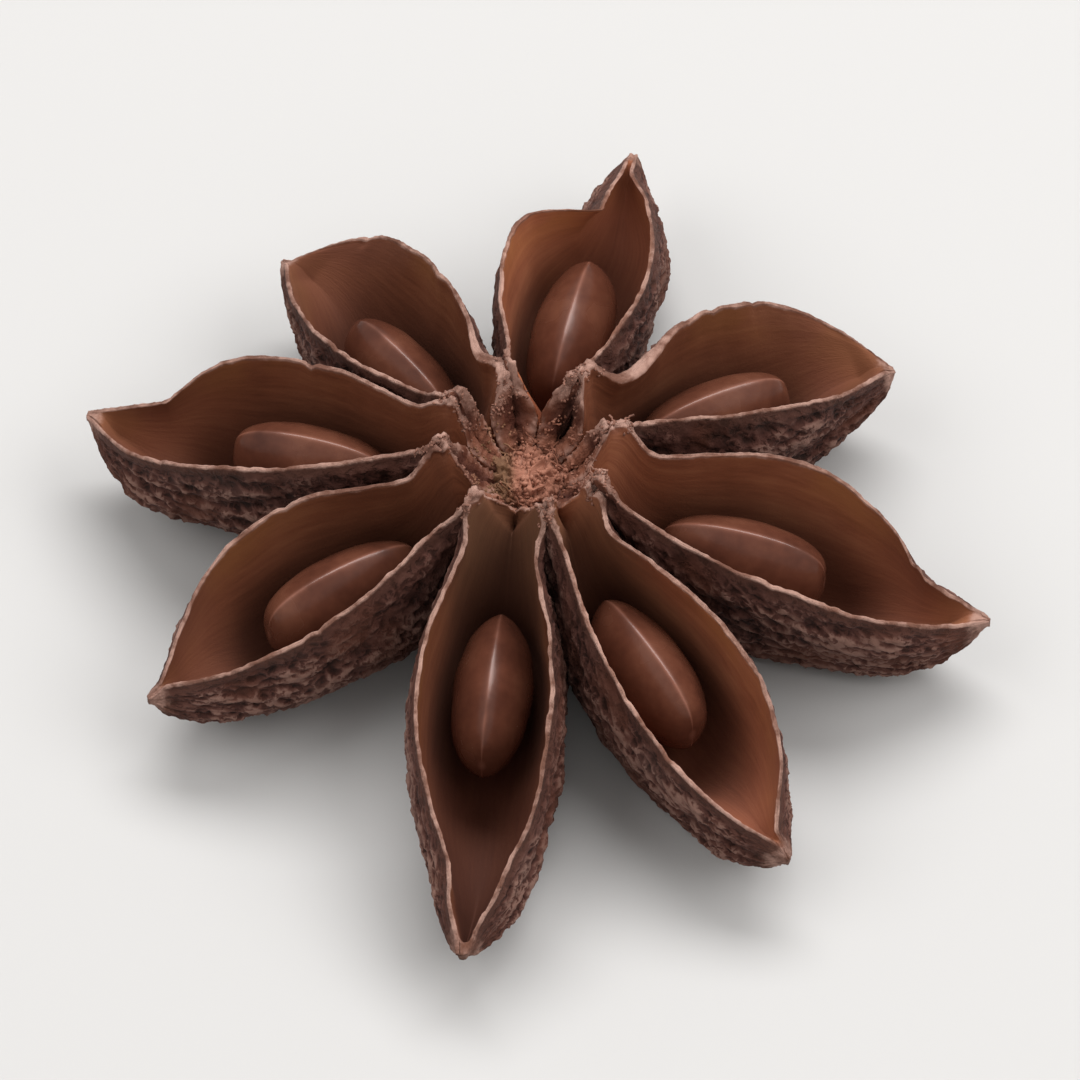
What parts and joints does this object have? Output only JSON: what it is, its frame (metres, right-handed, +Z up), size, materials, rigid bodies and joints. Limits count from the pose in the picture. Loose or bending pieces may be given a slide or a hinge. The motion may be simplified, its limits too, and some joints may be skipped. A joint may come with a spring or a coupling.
{
  "type": "star anise pod",
  "caption": "Dried star-shaped spice pod lying open side up, its boat-shaped carpels split along the top, each holding a glossy oval seed.",
  "frame": {"origin": "on the table, under the middle of the pod's outline", "axes": "+Z up through the open side of the pod; +X and +Y lie on the table, and the carpel of seed_1 points nearly along +Y"},
  "size_m": [0.0382, 0.04, 0.0106],
  "materials": {
    "husk": "dry, rough and wrinkled outside, smooth and satin brown inside the split carpels",
    "seed": "hard, polished chestnut brown"
  },
  "bodies": {
    "root": {"husk": "husk", "seed_1": "seed", "seed_2": "seed", "seed_3": "seed", "seed_4": "seed", "seed_5": "seed", "seed_6": "seed", "seed_7": "seed", "seed_8": "seed"}
  },
  "joints": []
}
